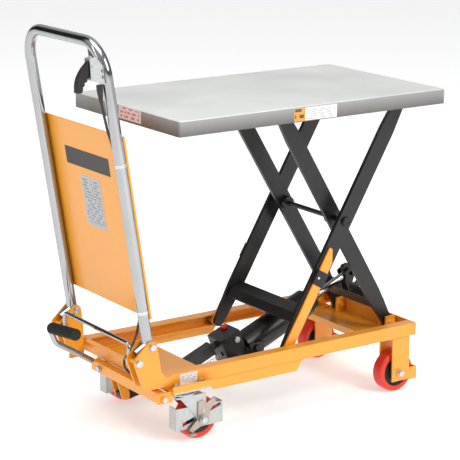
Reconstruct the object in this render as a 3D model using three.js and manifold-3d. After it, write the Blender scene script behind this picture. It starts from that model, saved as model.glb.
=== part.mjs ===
// Mobile scissor lift table. Millimetres, +Z up, +X towards the fixed wheels.
// Shown at the top of its stroke, which is the rest pose.
import * as THREE from 'three';
import { mergeVertices } from 'three/addons/utils/BufferGeometryUtils.js';
import Module from 'manifold-3d';

const wasm = await Module();
wasm.setup();

// ---- driving dimensions -------------------------------------------------
const SHIFT_X = 96;          // moves the whole model so its box is centred on x = 0
const GAP = 0.3;             // clearance between pieces that touch
const TABLE_X0 = -357;       // handle end of the table
const TABLE_X1 = 383;
const TABLE_Y = 225;         // half width of the table
const TABLE_Z = 747;         // table top, raised
const SKIRT_H = 35;          // depth of the folded table edge
const SHEET = 3;
const ARM_L = 669;           // pivot to pivot
const ARM_ANGLE = 59.4;      // degrees above level, raised
const ARM_W = 20;            // half width of an arm
const ARM_T = 10;
const BASE_X = 326;          // fixed pivots, chassis and table
const BASE_Z = 153.5;
const A_Y = 94;              // inner face of the inner arms
const B_Y = 134.5;           // inner face of the outer arms
const ROLLER_R = 11.7;
const RAIL_Y = 181;          // outer face of a rail
const RAIL_X0 = -372;
const RAIL_X1 = 346;
const RAIL_Z0 = 138;
const RAIL_Z1 = 169;
const FLANGE = 27.5;
const WALL = 3.5;
const WHEEL_R = 50;
const FRONT_X = 300;         // fixed wheel axle
const WHEEL_Y = 152;
const CASTER_X = -312;       // swivel axis
const CASTER_Y = 155;
const TRAIL = 38;
const HANDLE_X = -407;       // handle pivot
const HANDLE_Z = 245;
const HANDLE_Y = 168;
const HANDLE_R = 12.5;
const HANDLE_H = 680;        // pivot to the middle of the top bar
const HANDLE_BEND = 72;
const LEAN = 8.61;           // degrees
const CYL_X = -25;           // cylinder trunnion
const CYL_Z = 135.5;
const ROD_S = 118.8;         // rod pin, along the inner arm
const ROD_N = 19.1;          // rod pin, square to the inner arm
const TREADLE_X = -386;
const TREADLE_Z = 124;
const PUMP_ANGLE = 22.4;     // degrees, pump bore
const PEDAL_X = -512;
const PEDAL_Z = 239;
const PEDAL_RISE = 13;       // near end of the pad above its far end
const rad = (deg) => deg * Math.PI / 180;
const SIN_A = Math.sin(rad(ARM_ANGLE));
const COS_A = Math.cos(rad(ARM_ANGLE));
const TOP_Z = BASE_Z + ARM_L * SIN_A;
const LOW_X = BASE_X - ARM_L * COS_A;

// ---- solids -------------------------------------------------------------
function toSolid(geometry) {
  const g = geometry.clone();
  g.deleteAttribute('normal');
  g.deleteAttribute('uv');
  const m = mergeVertices(g, 1e-4);
  const mesh = new wasm.Mesh({
    numProp: 3,
    vertProperties: new Float32Array(m.attributes.position.array),
    triVerts: new Uint32Array(m.index.array),
  });
  mesh.merge();
  return new wasm.Manifold(mesh);
}

function toGeometry(solid) {
  const m = solid.getMesh();
  const g = new THREE.BufferGeometry();
  g.setAttribute('position', new THREE.BufferAttribute(new Float32Array(m.vertProperties), 3));
  g.setIndex(new THREE.BufferAttribute(new Uint32Array(m.triVerts), 1));
  const flat = g.toNonIndexed();
  flat.computeVertexNormals();
  return flat;
}

function join(...solids) {
  return solids.reduce((a, b) => a.add(b));
}

function cut(solid, ...tools) {
  return tools.reduce((a, b) => a.subtract(b), solid);
}

function box(x0, x1, y0, y1, z0, z1) {
  const g = new THREE.BoxGeometry(x1 - x0, y1 - y0, z1 - z0);
  g.translate((x0 + x1) / 2, (y0 + y1) / 2, (z0 + z1) / 2);
  return toSolid(g);
}

function extruded(points, depth, holes = []) {
  const outline = points.map((p) => new THREE.Vector2(p[0], p[1]));
  if (THREE.ShapeUtils.area(outline) < 0) outline.reverse();
  const shape = new THREE.Shape(outline);
  for (const h of holes) {
    const path = new THREE.Path();
    path.absarc(h[0], h[1], h[2], 0, Math.PI * 2, true);
    shape.holes.push(path);
  }
  return new THREE.ExtrudeGeometry(shape, { depth, bevelEnabled: false, curveSegments: 12 });
}

// Outline in X and Z, thickness along Y.
function plateXZ(points, y0, y1, holes = []) {
  const g = extruded(points, y1 - y0, holes);
  g.rotateX(Math.PI / 2);
  g.translate(0, y1, 0);
  return toSolid(g);
}

// Outline in Y and Z, thickness along X.
function plateYZ(points, x0, x1, holes = []) {
  const g = extruded(points, x1 - x0, holes);
  g.applyMatrix4(new THREE.Matrix4().makeBasis(
    new THREE.Vector3(0, 1, 0), new THREE.Vector3(0, 0, 1), new THREE.Vector3(1, 0, 0)));
  g.translate(x0, 0, 0);
  return toSolid(g);
}

// Outline in X and Y, thickness along Z.
function plateXY(points, z0, z1, holes = []) {
  const g = extruded(points, z1 - z0, holes);
  g.translate(0, 0, z0);
  return toSolid(g);
}

function cylY(x, z, r, y0, y1, seg = 16) {
  const g = new THREE.CylinderGeometry(r, r, y1 - y0, seg);
  g.translate(x, (y0 + y1) / 2, z);
  return toSolid(g);
}

function cylZ(x, y, r, z0, z1, seg = 20) {
  const g = new THREE.CylinderGeometry(r, r, z1 - z0, seg);
  g.rotateX(Math.PI / 2);
  g.translate(x, y, (z0 + z1) / 2);
  return toSolid(g);
}

// Round bar between two points.
function bar(a, b, r, seg = 16) {
  const va = new THREE.Vector3(...a);
  const vb = new THREE.Vector3(...b);
  const dir = vb.clone().sub(va);
  const g = new THREE.CylinderGeometry(r, r, dir.length(), seg);
  g.applyQuaternion(new THREE.Quaternion().setFromUnitVectors(
    new THREE.Vector3(0, 1, 0), dir.clone().normalize()));
  g.translate(...va.add(vb).multiplyScalar(0.5).toArray());
  return toSolid(g);
}

// Closed round tube swept through a list of points.
function sweep(points, r, seg = 12) {
  const p = points.map((q) => new THREE.Vector3(...q));
  const tangents = p.map((q, i) => {
    const before = p[Math.max(i - 1, 0)];
    const after = p[Math.min(i + 1, p.length - 1)];
    return after.clone().sub(before).normalize();
  });
  const side = new THREE.Vector3(1, 0, 0);
  if (Math.abs(tangents[0].x) > 0.9) side.set(0, 0, 1);
  let normal = side.clone().cross(tangents[0]).normalize();
  const verts = [];
  p.forEach((q, i) => {
    normal = normal.clone().addScaledVector(tangents[i], -normal.dot(tangents[i])).normalize();
    const other = tangents[i].clone().cross(normal);
    for (let k = 0; k < seg; k += 1) {
      const a = k / seg * Math.PI * 2;
      const v = q.clone().addScaledVector(normal, r * Math.cos(a));
      v.addScaledVector(other, r * Math.sin(a));
      verts.push(v.x, v.y, v.z);
    }
  });
  const first = verts.length / 3;
  verts.push(p[0].x, p[0].y, p[0].z);
  const end = p[p.length - 1];
  verts.push(end.x, end.y, end.z);
  const faces = [];
  const last = (p.length - 1) * seg;
  for (let i = 0; i < p.length - 1; i += 1) {
    for (let k = 0; k < seg; k += 1) {
      const a = i * seg + k;
      const b = i * seg + (k + 1) % seg;
      faces.push(a, b, b + seg, a, b + seg, a + seg);
    }
  }
  for (let k = 0; k < seg; k += 1) {
    const n = (k + 1) % seg;
    faces.push(first, n, k, first + 1, last + k, last + n);
  }
  const mesh = new wasm.Mesh({
    numProp: 3,
    vertProperties: new Float32Array(verts),
    triVerts: new Uint32Array(faces),
  });
  return new wasm.Manifold(mesh);
}

// Solid turned about the Y axis through (x, z); profile is [radius, y] pairs.
function turnedY(profile, x, y, z, seg = 24) {
  const g = new THREE.LatheGeometry(profile.map((q) => new THREE.Vector2(q[0], q[1])), seg);
  return toSolid(g).translate([x, y, z]);
}

// ---- frames that tilt ---------------------------------------------------
// Local (s, y, n) to world: s runs along an arm from its lower pivot, n is square to it.
function armMatrix(x, z, angle) {
  const c = Math.cos(angle);
  const s = Math.sin(angle);
  const m = new THREE.Matrix4().makeBasis(
    new THREE.Vector3(c, 0, s), new THREE.Vector3(0, 1, 0), new THREE.Vector3(-s, 0, c));
  m.setPosition(x, 0, z);
  return m;
}
const A_FRAME = armMatrix(BASE_X, BASE_Z, Math.PI - rad(ARM_ANGLE));
const B_FRAME = armMatrix(LOW_X, BASE_Z, rad(ARM_ANGLE));

function place(solid, matrix) {
  return solid.transform(matrix.toArray());
}

// ---- materials ----------------------------------------------------------
function material(colour, metalness, roughness) {
  return new THREE.MeshStandardMaterial({ color: colour, metalness, roughness });
}
const orange = () => material(0xf39a1c, 0.0, 0.4);
const black = () => material(0x1c1c1b, 0.0, 0.45);
const zinc = () => material(0xa9adad, 0.9, 0.38);
const chrome = () => material(0xd8dadc, 1.0, 0.12);
const steel = () => material(0xb4b7b6, 0.9, 0.35);
const red = () => material(0xd9301f, 0.0, 0.42);
const rubber = () => material(0x151515, 0.0, 0.8);

const group = new THREE.Group();
group.name = 'scissor_lift_table';

function add(name, solid, mat) {
  const g = toGeometry(solid);
  g.translate(SHIFT_X, 0, 0);
  const mesh = new THREE.Mesh(g, mat);
  mesh.name = name;
  group.add(mesh);
}

// Both sides of the machine: near is -Y, far is +Y.
function bothSides(name, build, mat) {
  add(`${name}_near`, build().mirror([0, 1, 0]), mat());
  add(`${name}_far`, build(), mat());
}

// Both casters are the same article, with its guard and brake on the near side.
function sameHand(name, build, mat) {
  add(`${name}_near`, build().mirror([0, 1, 0]), mat());
  add(`${name}_far`, build().mirror([0, 1, 0]).translate([0, 2 * CASTER_Y, 0]), mat());
}

// ---- chassis ------------------------------------------------------------
function rail() {
  const inner = RAIL_Y - FLANGE;
  const channel = plateYZ([
    [RAIL_Y, RAIL_Z0], [RAIL_Y, RAIL_Z1], [inner, RAIL_Z1], [inner, RAIL_Z1 - WALL],
    [RAIL_Y - WALL, RAIL_Z1 - WALL], [RAIL_Y - WALL, RAIL_Z0 + WALL],
    [inner, RAIL_Z0 + WALL], [inner, RAIL_Z0],
  ], RAIL_X0, RAIL_X1);
  const skirt = plateXZ([
    [-238, 141], [-243, 136], [-243, 117], [-238, 112], [-8, 112], [9, 138], [9, 141],
  ], RAIL_Y - 5.5, RAIL_Y - 1);
  return join(channel, skirt);
}

function endMember() {
  const web = box(RAIL_X0 - 5.5, RAIL_X0 - GAP, -RAIL_Y, RAIL_Y, RAIL_Z0, RAIL_Z1);
  const lip = box(-387, RAIL_X0 - GAP, -149.5, 149.5, RAIL_Z1 - WALL, RAIL_Z1);
  return join(web, lip);
}

function deckPlate() {
  return box(-366, -219, -114.7, 114.7, 133.4, 137.4);
}

function ledge() {
  const plate = box(-365, -250, 115, 206, 132.5, 137.7);
  const lip = box(-365, -250, 202, 206, 132.5, 148);
  const ear = box(-402, -362.4, 195, 200, 113, 137.7);
  const bolts = [-345, -280].map((x) => cylZ(x, 193, 4.3, 130, 140, 16));
  return cut(join(plate, lip, ear), ...bolts, cylY(TREADLE_X, TREADLE_Z, 5.4, 190, 204));
}

function farCrossChannel() {
  const channel = plateXZ([
    [250, 135], [250, 118], [253.5, 118], [253.5, 131.5], [338.5, 131.5],
    [338.5, 118], [342, 118], [342, 135],
  ], -128.5, 128.5);
  const wall = plateYZ([[-84, 134], [84, 134], [84, 172], [66, 205], [-66, 205], [-84, 172]], 338, 341);
  return join(channel, wall);
}

function farEndMember() {
  return box(RAIL_X1 + GAP, RAIL_X1 + 4, -RAIL_Y, RAIL_Y, RAIL_Z0, RAIL_Z1);
}

function fork() {
  const top = box(279, 331.5, 129, RAIL_Y, 133.2, RAIL_Z0 - GAP);
  const outerLeg = box(279, 331.5, 176.5, RAIL_Y, 28, 137);
  const innerLeg = box(279, 331.5, 129, 133.5, 28, 137);
  const outerStrap = box(330, 355, 176.5, RAIL_Y, 26, 57);
  const innerStrap = box(330, 355, 129, 133.5, 26, 57);
  const wrap = box(350.8, 355, 129, RAIL_Y, 26, 57);
  const axle = cylY(FRONT_X, WHEEL_R, 6, 126, 184, 16);
  const head = cylY(FRONT_X, WHEEL_R, 9, 180, 186, 6);
  return join(top, outerLeg, innerLeg, outerStrap, innerStrap, wrap, axle, head);
}

function clevis() {
  const base = box(308, 337, 84, 114, 135.3, 138.3);
  const inner = box(312, 340, 85, 91, 136, 172);
  const outer = box(312, 340, 107, 113, 136, 172);
  const pin = cylY(BASE_X, BASE_Z, 7, 81, 117, 20);
  const head = cylY(BASE_X, BASE_Z, 10, 113, 118, 6);
  const clear = box(300, 350, 91.5, 106.5, 138.3, 145);
  return join(cut(join(base, inner, outer), clear), pin, head);
}

function pumpCradle() {
  return plateYZ([
    [-175.2, 112], [-175.2, 118], [-43, 118], [-43, 149], [-37, 149], [-37, 88], [37, 88],
    [37, 149], [43, 149], [43, 82], [-43, 82], [-43, 112],
  ], -45, -5);
}

function cradleWithBores() {
  return cut(pumpCradle(), cylY(CYL_X, CYL_Z, 8.4, -50, 50));
}

function handleBracket() {
  const outline = [
    [-414, 256], [-401, 257], [-394, 249], [-383, 182], [-374, 172], [-372.5, 170],
    [-372.5, 146], [-418, 146], [-432, 154], [-453, 215], [-450, 223],
  ];
  const innerOutline = [
    [-414, 256], [-401, 257], [-394, 249], [-388.5, 200], [-388.5, 146], [-418, 146],
    [-432, 154], [-453, 215], [-450, 223],
  ];
  const outer = plateXZ(outline, 181.3, 186.3);
  const tab = box(-374, -356, 181.3, 186.3, 146, 168);
  const inner = plateXZ(innerOutline, 150.2, 155.2);
  const floor = box(-418, -388.5, 151, 184, 146, 149.5);
  const pivot = cylY(HANDLE_X, HANDLE_Z, 5, 148, 189.5, 16);
  const pivotHead = cylY(HANDLE_X, HANDLE_Z, 8.5, 186, 190.5, 16);
  const second = cylY(-442, 214, 5, 141, 189.5, 16);
  const secondHead = cylY(-442, 214, 8, 186, 190, 16);
  return join(outer, tab, inner, floor, pivot, pivotHead, second, secondHead);
}

// ---- fixed wheels -------------------------------------------------------
function tyreRing(x, y, z) {
  return turnedY([
    [36, -16], [46, -16], [50, -11], [50, 11], [46, 16], [36, 16], [36, -16],
  ], x, y, z);
}

function wheelCore(x, y, z, bore) {
  return turnedY([
    [bore, -18], [15, -18], [15, -12], [35.7, -12], [35.7, 12], [15, 12], [15, 18],
    [bore, 18], [bore, -18],
  ], x, y, z);
}

// ---- casters ------------------------------------------------------------
function casterPlate() {
  const plate = box(-362, -262, 117, 204, 128, 132.2);
  const bearing = cylZ(CASTER_X, CASTER_Y, 27, 113, 129, 28);
  const bolts = [-345, -280].map((x) => cylZ(x, 193, 4, 130, 146, 16));
  const nuts = [-345, -280].map((x) => cylZ(x, 193, 7, 138, 143, 6));
  return join(plate, bearing, ...bolts, ...nuts);
}

const GUARD_OUTLINE = [[-340, 31], [-340, 83], [-214, 80], [-214, 30]];

// Slanted slot in the side of the wheel guard.
function guardSlot(x, z, length) {
  const rise = 0.28;
  const h = 4.5;
  return plateXZ([[x, z - h], [x, z + h], [x + length, z + h + length * rise],
    [x + length, z - h + length * rise]], 170, 180);
}

function casterFork() {
  const ax = CASTER_X + TRAIL;
  const crown = plateXY([
    [-338, 130], [-338, 180], [-300, 182], [-268, 181], [-268, 129], [-300, 128],
  ], 106, 110);
  const leg = [[-332, 109], [-262, 109], [-260, 66], [-264, 42], [-284, 42], [-291, 60]];
  const outer = plateXZ(leg, 177, 180);
  const inner = plateXZ(leg, 130, 133);
  const stem = cylZ(CASTER_X, CASTER_Y, 20, 109, 112.6, 24);
  const axle = cylY(ax, WHEEL_R, 6, 128, 188, 16);
  const head = cylY(ax, WHEEL_R, 9, 184, 188.5, 6);
  const guardSide = cut(plateXZ(GUARD_OUTLINE, 174.6, 177.1), guardSlot(-323, 43, 34), guardSlot(-258, 64, 38));
  const guardFront = box(-216.5, -214, 143, 177.1, 30, 80);
  const guardBack = box(-340, -337.5, 148, 177.1, 31, 83);
  return join(crown, outer, inner, stem, axle, head, guardSide, guardFront, guardBack);
}

// Brake lever that hangs on the end of the wheel axle.
function casterBrake() {
  const outline = [[-284, 92], [-268, 94], [-262, 86], [-240, 97], [-240, 84], [-252, 66],
    [-256, 36], [-280, 32], [-301, 22], [-309, 30], [-286, 52]];
  const plate = plateXZ(outline, 180.4, 183.4, [[CASTER_X + TRAIL, WHEEL_R, 6.4]]);
  const tread = box(-314, -298, 180.4, 198, 20, 23);
  return join(plate, tread);
}

// ---- scissor arms -------------------------------------------------------
function armOutline() {
  const e = 13;
  const t = 95;
  const pts = [[-9, -9], [0, -e], [t, -ARM_W], [ARM_L - t, -ARM_W], [ARM_L, -e], [ARM_L + 9, -9]];
  pts.push([ARM_L + e, 0], [ARM_L + 9, 9], [ARM_L, e], [ARM_L - t, ARM_W], [t, ARM_W], [0, e]);
  pts.push([-9, 9], [-e, 0]);
  return pts;
}

function innerArm() {
  const flat = plateXZ(armOutline(), A_Y, A_Y + ARM_T,
    [[0, 0, 7.4], [ARM_L / 2, 0, 6.3]]);
  const upperPin = cylY(ARM_L, 0, 6, A_Y + ARM_T - 1, 127, 16);
  return place(join(flat, upperPin), A_FRAME);
}

function innerBeam() {
  const beam = box(52, 84, -93.7, 93.7, -12, 12);
  const outline = [[70, -10], [70, 12], [84, 12], [136, 0], [136, -30], [128, -37], [92, -37]];
  const left = plateXZ(outline, -17, -12.3);
  const right = plateXZ(outline, 12.3, 17);
  const window = box(94, 127, -20, 20, -29.5, -8.5);
  return place(cut(join(beam, left, right), window), A_FRAME);
}

function centreAxle() {
  const rod = cylY(ARM_L / 2, 0, 6, -150, 150, 20);
  const bosses = [-1, 1].map((s) => cylY(ARM_L / 2, 0, 16, s * 86.8 - 6.9, s * 86.8 + 6.9, 24));
  const heads = [-1, 1].map((s) => cylY(ARM_L / 2, 0, 11, s * 147.6 - 2.6, s * 147.6 + 2.6, 16));
  return place(join(rod, ...bosses, ...heads), A_FRAME);
}

function outerArm() {
  const flat = plateXZ(armOutline(), B_Y, B_Y + ARM_T,
    [[ARM_L / 2, 0, 6.4], [ARM_L, 0, 6.4]]);
  const lowerPin = cylY(0, 0, 6, B_Y + ARM_T - 1, 176, 16);
  return place(join(flat, lowerPin), B_FRAME);
}

function outerBeam() {
  const outline = [[65, -13], [65, 13], [88, 13], [114, -8], [114, -13]];
  return place(plateXZ(outline, -134.2, 134.2), B_FRAME);
}

function prop() {
  const blade = plateXZ([
    [-12, -10], [0, -13], [232, -13], [262, 4], [262, 13], [0, 13], [-12, 10],
  ], 144.9, 150.4, [[0, 0, 6.4]]);
  const sleeve = box(168, 204, 144.7, 153.2, -16, 17);
  return place(join(blade, sleeve), B_FRAME);
}

function roller(x, z, y0, y1) {
  const profile = [[6.4, y0], [ROLLER_R, y0], [ROLLER_R, y1], [6.4, y1], [6.4, y0]];
  return turnedY(profile, x, 0, z, 20);
}

// ---- table --------------------------------------------------------------
function tablePan() {
  const z0 = TABLE_Z - SKIRT_H;
  const outer = box(TABLE_X0, TABLE_X1, -TABLE_Y, TABLE_Y, z0, TABLE_Z);
  const inner = box(TABLE_X0 + SHEET, TABLE_X1 - SHEET, -TABLE_Y + SHEET, TABLE_Y - SHEET,
    z0 - 1, TABLE_Z - SHEET);
  const parts = [];
  for (const s of [-1, 1]) {
    const slot = TOP_Z - ROLLER_R - 0.4;
    const yz = [[128.5, slot - 3], [128.5, TABLE_Z - 2], [132, TABLE_Z - 2], [132, slot - 3]];
    const web = plateYZ(yz, -353, 60);
    const shelf = box(-353, 60, 107, 132, slot - 3, slot);
    const innerLug = box(309, 343, 126, 131, 714, TABLE_Z - 2);
    const outerLug = box(309, 343, 147.6, 152.6, 714, TABLE_Z - 2);
    const pin = cylY(BASE_X, TOP_Z, 6, 126, 155, 16);
    const side = join(web, shelf, innerLug, outerLug, pin);
    parts.push(s > 0 ? side : side.mirror([0, 1, 0]));
  }
  return join(cut(outer, inner), ...parts);
}

// ---- hydraulic unit -----------------------------------------------------
function rodAngle() {
  const px = BASE_X - ROD_S * COS_A + ROD_N * SIN_A;
  const pz = BASE_Z + ROD_S * SIN_A + ROD_N * COS_A;
  return [Math.atan2(pz - CYL_Z, px - CYL_X), Math.hypot(pz - CYL_Z, px - CYL_X)];
}
const [ROD_ANGLE, ROD_LEN] = rodAngle();
const ROD_FRAME = armMatrix(CYL_X, CYL_Z, ROD_ANGLE);

// Round bar along s in a tilted frame.
function barS(s0, s1, r, seg = 24) {
  return bar([s0, 0, 0], [s1, 0, 0], r, seg);
}

function barrel() {
  const body = barS(-12, 190, 34, 36);
  const gland = barS(188, 210, 27, 28);
  const trunnion = cylY(0, 0, 8, -49, 49, 20);
  const bore = barS(9, 220, 10.6, 24);
  return place(cut(join(body, gland, trunnion), bore), ROD_FRAME);
}

function pistonRod() {
  const rod = barS(112, ROD_LEN - 4, 10, 24);
  const eye = cylY(ROD_LEN, 0, 14, -11, 11, 24);
  const pin = cylY(ROD_LEN, 0, 6, -22, 22, 16);
  return place(join(rod, eye, pin), ROD_FRAME);
}

const PLUNGER_N = 21;        // plunger, above the pump bore's frame
const SPRING_Y = -12;
const SPRING_N = -3;
const PUMP_FRAME = armMatrix(-83, 138, rad(PUMP_ANGLE));

function pumpBlock() {
  const body = box(-24, 32, -30, 30, -35, 38);
  const port = barS(-40, -4, 9, 20).translate([0, 0, PLUNGER_N]);
  const plug = cylY(16.5, 19, 7, -34, -28, 16);
  const springPocket = barS(-40, -10, 5.8, 16).translate([0, SPRING_Y, SPRING_N]);
  const wing = box(-98, -66, -175.2, 0, 112.3, 118);
  return join(place(cut(join(body, plug), port, springPocket), PUMP_FRAME), wing);
}

function valveCap() {
  return place(cylZ(17, 14, 8, 38 + GAP, 45, 20), PUMP_FRAME);
}

function pushTube() {
  const u = [Math.cos(rad(PUMP_ANGLE)), Math.sin(rad(PUMP_ANGLE))];
  const line = (s, n) => [-83 + s * u[0] - n * u[1], 138 + s * u[1] + n * u[0]];
  const half = 14;
  const a = line(-40, PLUNGER_N + half);
  const b = line(-40, PLUNGER_N - half);
  const c = line(-166, PLUNGER_N - half);
  const d = line(-168, PLUNGER_N + half);
  const tube = plateXZ([b, a, d, [-372, 86], [-384, 80], [-384, 70], [-372, 65], c], -12.5, 12.5);
  const plunger = place(barS(-60, -24, 8, 20).translate([0, 0, PLUNGER_N]), PUMP_FRAME);
  const lug = place(box(-112, -108, -18, -6, -9, 8), PUMP_FRAME);
  return cut(join(tube, plunger, lug), cylY(-373.6, 75.6, 5.2, -20, 20, 16));
}

function returnSpring() {
  return place(barS(-107.5, -26, 5, 12).translate([0, SPRING_Y, SPRING_N]), PUMP_FRAME);
}

// ---- treadle ------------------------------------------------------------
function treadleBeam() {
  const x0 = TREADLE_X - 10;
  const x1 = TREADLE_X + 10;
  const profile = [[x0, 111.5], [x1, 111.5], [x1, 115], [x0 + WALL, 115], [x0 + WALL, 132],
    [x1, 132], [x1, 135.5], [x0, 135.5]];
  const beam = plateXZ(profile, -193, 103);
  const nearCap = box(x0, x1, -193, -189, 111.5, 135.5);
  const farCap = box(x0, x1, 99, 103, 111.5, 135.5);
  const farShaft = cylY(TREADLE_X, TREADLE_Z, 5, 101, 204, 16);
  const nearPin = cylY(TREADLE_X, TREADLE_Z, 5, -204, -190, 16);
  const nearHead = cylY(TREADLE_X, TREADLE_Z, 8, -205, -200.3, 16);
  const cheek = [[-396, 120], [-396, 112], [-383, 68], [-366, 66], [-364, 80], [-376, 120]];
  const left = plateXZ(cheek, -17.5, -13);
  const right = plateXZ(cheek, 13, 17.5);
  const pin = cylY(-373.6, 75.6, 4, -17, 17, 16);
  return join(beam, nearCap, farCap, farShaft, nearPin, nearHead, left, right, pin);
}

function arcPoints(a, corner, b, steps) {
  const out = [];
  for (let i = 0; i <= steps; i += 1) {
    const t = i / steps;
    const w0 = (1 - t) * (1 - t);
    const w1 = 2 * t * (1 - t);
    const w2 = t * t;
    out.push([0, 1, 2].map((k) => w0 * a[k] + w1 * corner[k] + w2 * b[k]));
  }
  return out;
}

function pedalTube() {
  const y = 92;
  const rise = arcPoints([-452, y, 170], [-494, y, 196], [-509, y, 222], 4);
  const turn = arcPoints([-510, y, 225], [PEDAL_X, y, PEDAL_Z], [PEDAL_X, 79, PEDAL_Z], 3);
  return sweep([[-400, y, 136], ...rise, ...turn], 7, 14);
}

function pedalPad() {
  return bar([PEDAL_X, 77, PEDAL_Z], [PEDAL_X, -36, PEDAL_Z + PEDAL_RISE], 13.5, 24);
}

// ---- handle -------------------------------------------------------------
// Local (o, y, w): w runs up the handle, o is square to it, towards the table.
const HANDLE_FRAME = new THREE.Matrix4().makeBasis(
  new THREE.Vector3(Math.cos(rad(LEAN)), 0, Math.sin(rad(LEAN))),
  new THREE.Vector3(0, 1, 0),
  new THREE.Vector3(-Math.sin(rad(LEAN)), 0, Math.cos(rad(LEAN))))
  .setPosition(HANDLE_X, 0, HANDLE_Z);

function handleTube() {
  const bend = HANDLE_BEND;
  const points = [[0, -HANDLE_Y, -4], [0, -HANDLE_Y, HANDLE_H - bend]];
  for (let i = 1; i < 8; i += 1) {
    const a = rad(90 * i / 8);
    points.push([0, -HANDLE_Y + bend * (1 - Math.cos(a)), HANDLE_H - bend + bend * Math.sin(a)]);
  }
  const half = [...points, [0, -HANDLE_Y + bend, HANDLE_H]];
  const other = half.map((q) => [q[0], -q[1], q[2]]).reverse();
  const tube = sweep([...half, ...other], HANDLE_R, 18);
  const stubs = [-1, 1].map((s) => bar([0, s * HANDLE_Y, 0], [-33, s * HANDLE_Y, -12], HANDLE_R, 18));
  const bores = [-1, 1].map((s) => cylY(0, 0, 5.4, s * HANDLE_Y - 20, s * HANDLE_Y + 20, 16));
  return place(cut(join(tube, ...stubs), ...bores), HANDLE_FRAME);
}

// Web in the near corner of the hoop, 1 mm inside its bend.
function handleGusset() {
  const r = HANDLE_BEND - HANDLE_R - 1;
  const points = [[-HANDLE_Y + HANDLE_BEND - r * Math.sin(rad(8.4)), 640]];
  for (let a = 8.4; a < 63; a += 7.7) {
    points.push([-HANDLE_Y + HANDLE_BEND - r * Math.sin(rad(a)),
      HANDLE_H - HANDLE_BEND + r * Math.cos(rad(a))]);
  }
  return place(plateYZ(points, -2, 2), HANDLE_FRAME);
}

function panel() {
  const sheet = box(13.2, 15.7, -172, 172, 57, 476);
  const flanges = [-1, 1].map((s) => box(13.2, 19, s * 170.75 - 1.25, s * 170.75 + 1.25, 57, 476));
  return place(join(sheet, ...flanges), HANDLE_FRAME);
}

function leverBracket() {
  const outline = [[-13, 598], [-45, 614], [-40, 660], [-24, 660], [-13, 640]];
  const outer = plateXZ(outline, -180, -177.5);
  const inner = plateXZ(outline, -158.5, -156);
  const back = box(-15.5, -13, -180, -156, 598, 640);
  const pivot = cylY(-36, 642, 3, -182, -154, 12);
  return place(join(outer, inner, back, pivot), HANDLE_FRAME);
}

function releaseLever() {
  const grip = [[-30, 652], [-26, 640], [-34, 628], [-46, 620], [-58, 610], [-66, 592]];
  grip.push([-80, 594], [-76, 614], [-64, 634], [-48, 648], [-40, 654]);
  return place(plateXZ(grip, -175, -161, [[-36, 642, 3.4]]), HANDLE_FRAME);
}

function cable() {
  const local = [[-20, -166, 598], [-22, -166, 560], [-17, -162, 520], [-11, -155.5, 490]];
  local.push([-3, -151.6, 455], [0, -151.8, 420], [0, -151.8, 300], [0, -151.8, 90]);
  const world = local.map(([o, y, w]) => {
    const v = new THREE.Vector3(o, y, w).applyMatrix4(HANDLE_FRAME);
    return v.toArray();
  });
  const lower = [[-416, -148, 298], [-415, -138, 270], [-411, -116, 240], [-411, -95, 212],
    [-411, -74, 186], [-408, -66, 169], [-402, -76, 155], [-393, -92, 150], [-379, -100, 148]];
  const boot = bar(world[0], world[1], 7, 12);
  return join(sweep([...world, ...lower], 3, 8), boot);
}

function bail() {
  const rod = cylY(-440, 247, 5, -147.5, 147.5, 12);
  const arms = [-1, 1].map((s) => {
    const y0 = s * 145.5 - 2.5;
    const arm = plateXZ([[-450, 208], [-434, 208], [-432, 222], [-434, 250], [-444, 252], [-450, 222]],
      y0, y0 + 5, [[-442, 214, 5.4]]);
    return arm;
  });
  return join(rod, ...arms);
}

// ---- assembly -----------------------------------------------------------
bothSides('rail', rail, orange);
add('handle_end_member', endMember(), orange());
add('deck_plate', deckPlate(), orange());
bothSides('caster_ledge', ledge, orange);
add('far_cross_channel', farCrossChannel(), orange());
add('far_end_member', farEndMember(), orange());
bothSides('wheel_fork', fork, orange);
bothSides('arm_clevis', clevis, orange);
add('pump_cradle', cradleWithBores(), black());
bothSides('handle_bracket', handleBracket, orange);
bothSides('fixed_tyre', () => tyreRing(FRONT_X, WHEEL_Y + 3.2, WHEEL_R), red);
bothSides('fixed_hub', () => wheelCore(FRONT_X, WHEEL_Y + 3.2, WHEEL_R, 6.4), steel);
bothSides('caster_plate', casterPlate, zinc);
sameHand('caster_fork', casterFork, zinc);
sameHand('caster_brake', casterBrake, steel);
bothSides('caster_tyre', () => tyreRing(CASTER_X + TRAIL, CASTER_Y, WHEEL_R), red);
bothSides('caster_hub', () => wheelCore(CASTER_X + TRAIL, CASTER_Y, WHEEL_R, 6.4), steel);
bothSides('inner_arm', innerArm, black);
add('inner_beam', innerBeam(), black());
add('centre_axle', centreAxle(), steel());
bothSides('outer_arm', outerArm, black);
add('outer_beam', outerBeam(), black());
bothSides('safety_prop', prop, orange);
bothSides('lower_roller', () => roller(LOW_X, BASE_Z, 154.5, 175.5), steel);
bothSides('upper_roller', () => roller(LOW_X, TOP_Z, 105.5, 126.5), steel);
add('table_pan', tablePan(), steel());
add('cylinder_barrel', barrel(), black());
add('piston_rod', pistonRod(), chrome());
add('pump_block', pumpBlock(), black());
add('valve_cap', valveCap(), red());
add('push_tube', pushTube(), black());
add('return_spring', returnSpring(), steel());
add('treadle_beam', treadleBeam(), orange());
add('pedal_tube', pedalTube(), chrome());
add('pedal_pad', pedalPad(), rubber());
add('handle_tube', handleTube(), chrome());
add('handle_gusset', handleGusset(), black());
add('handle_panel', panel(), orange());
add('lever_bracket', leverBracket(), zinc());
add('release_lever', releaseLever(), rubber());
add('release_cable', cable(), rubber());
add('handle_bail', bail(), chrome());

export default group;
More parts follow.
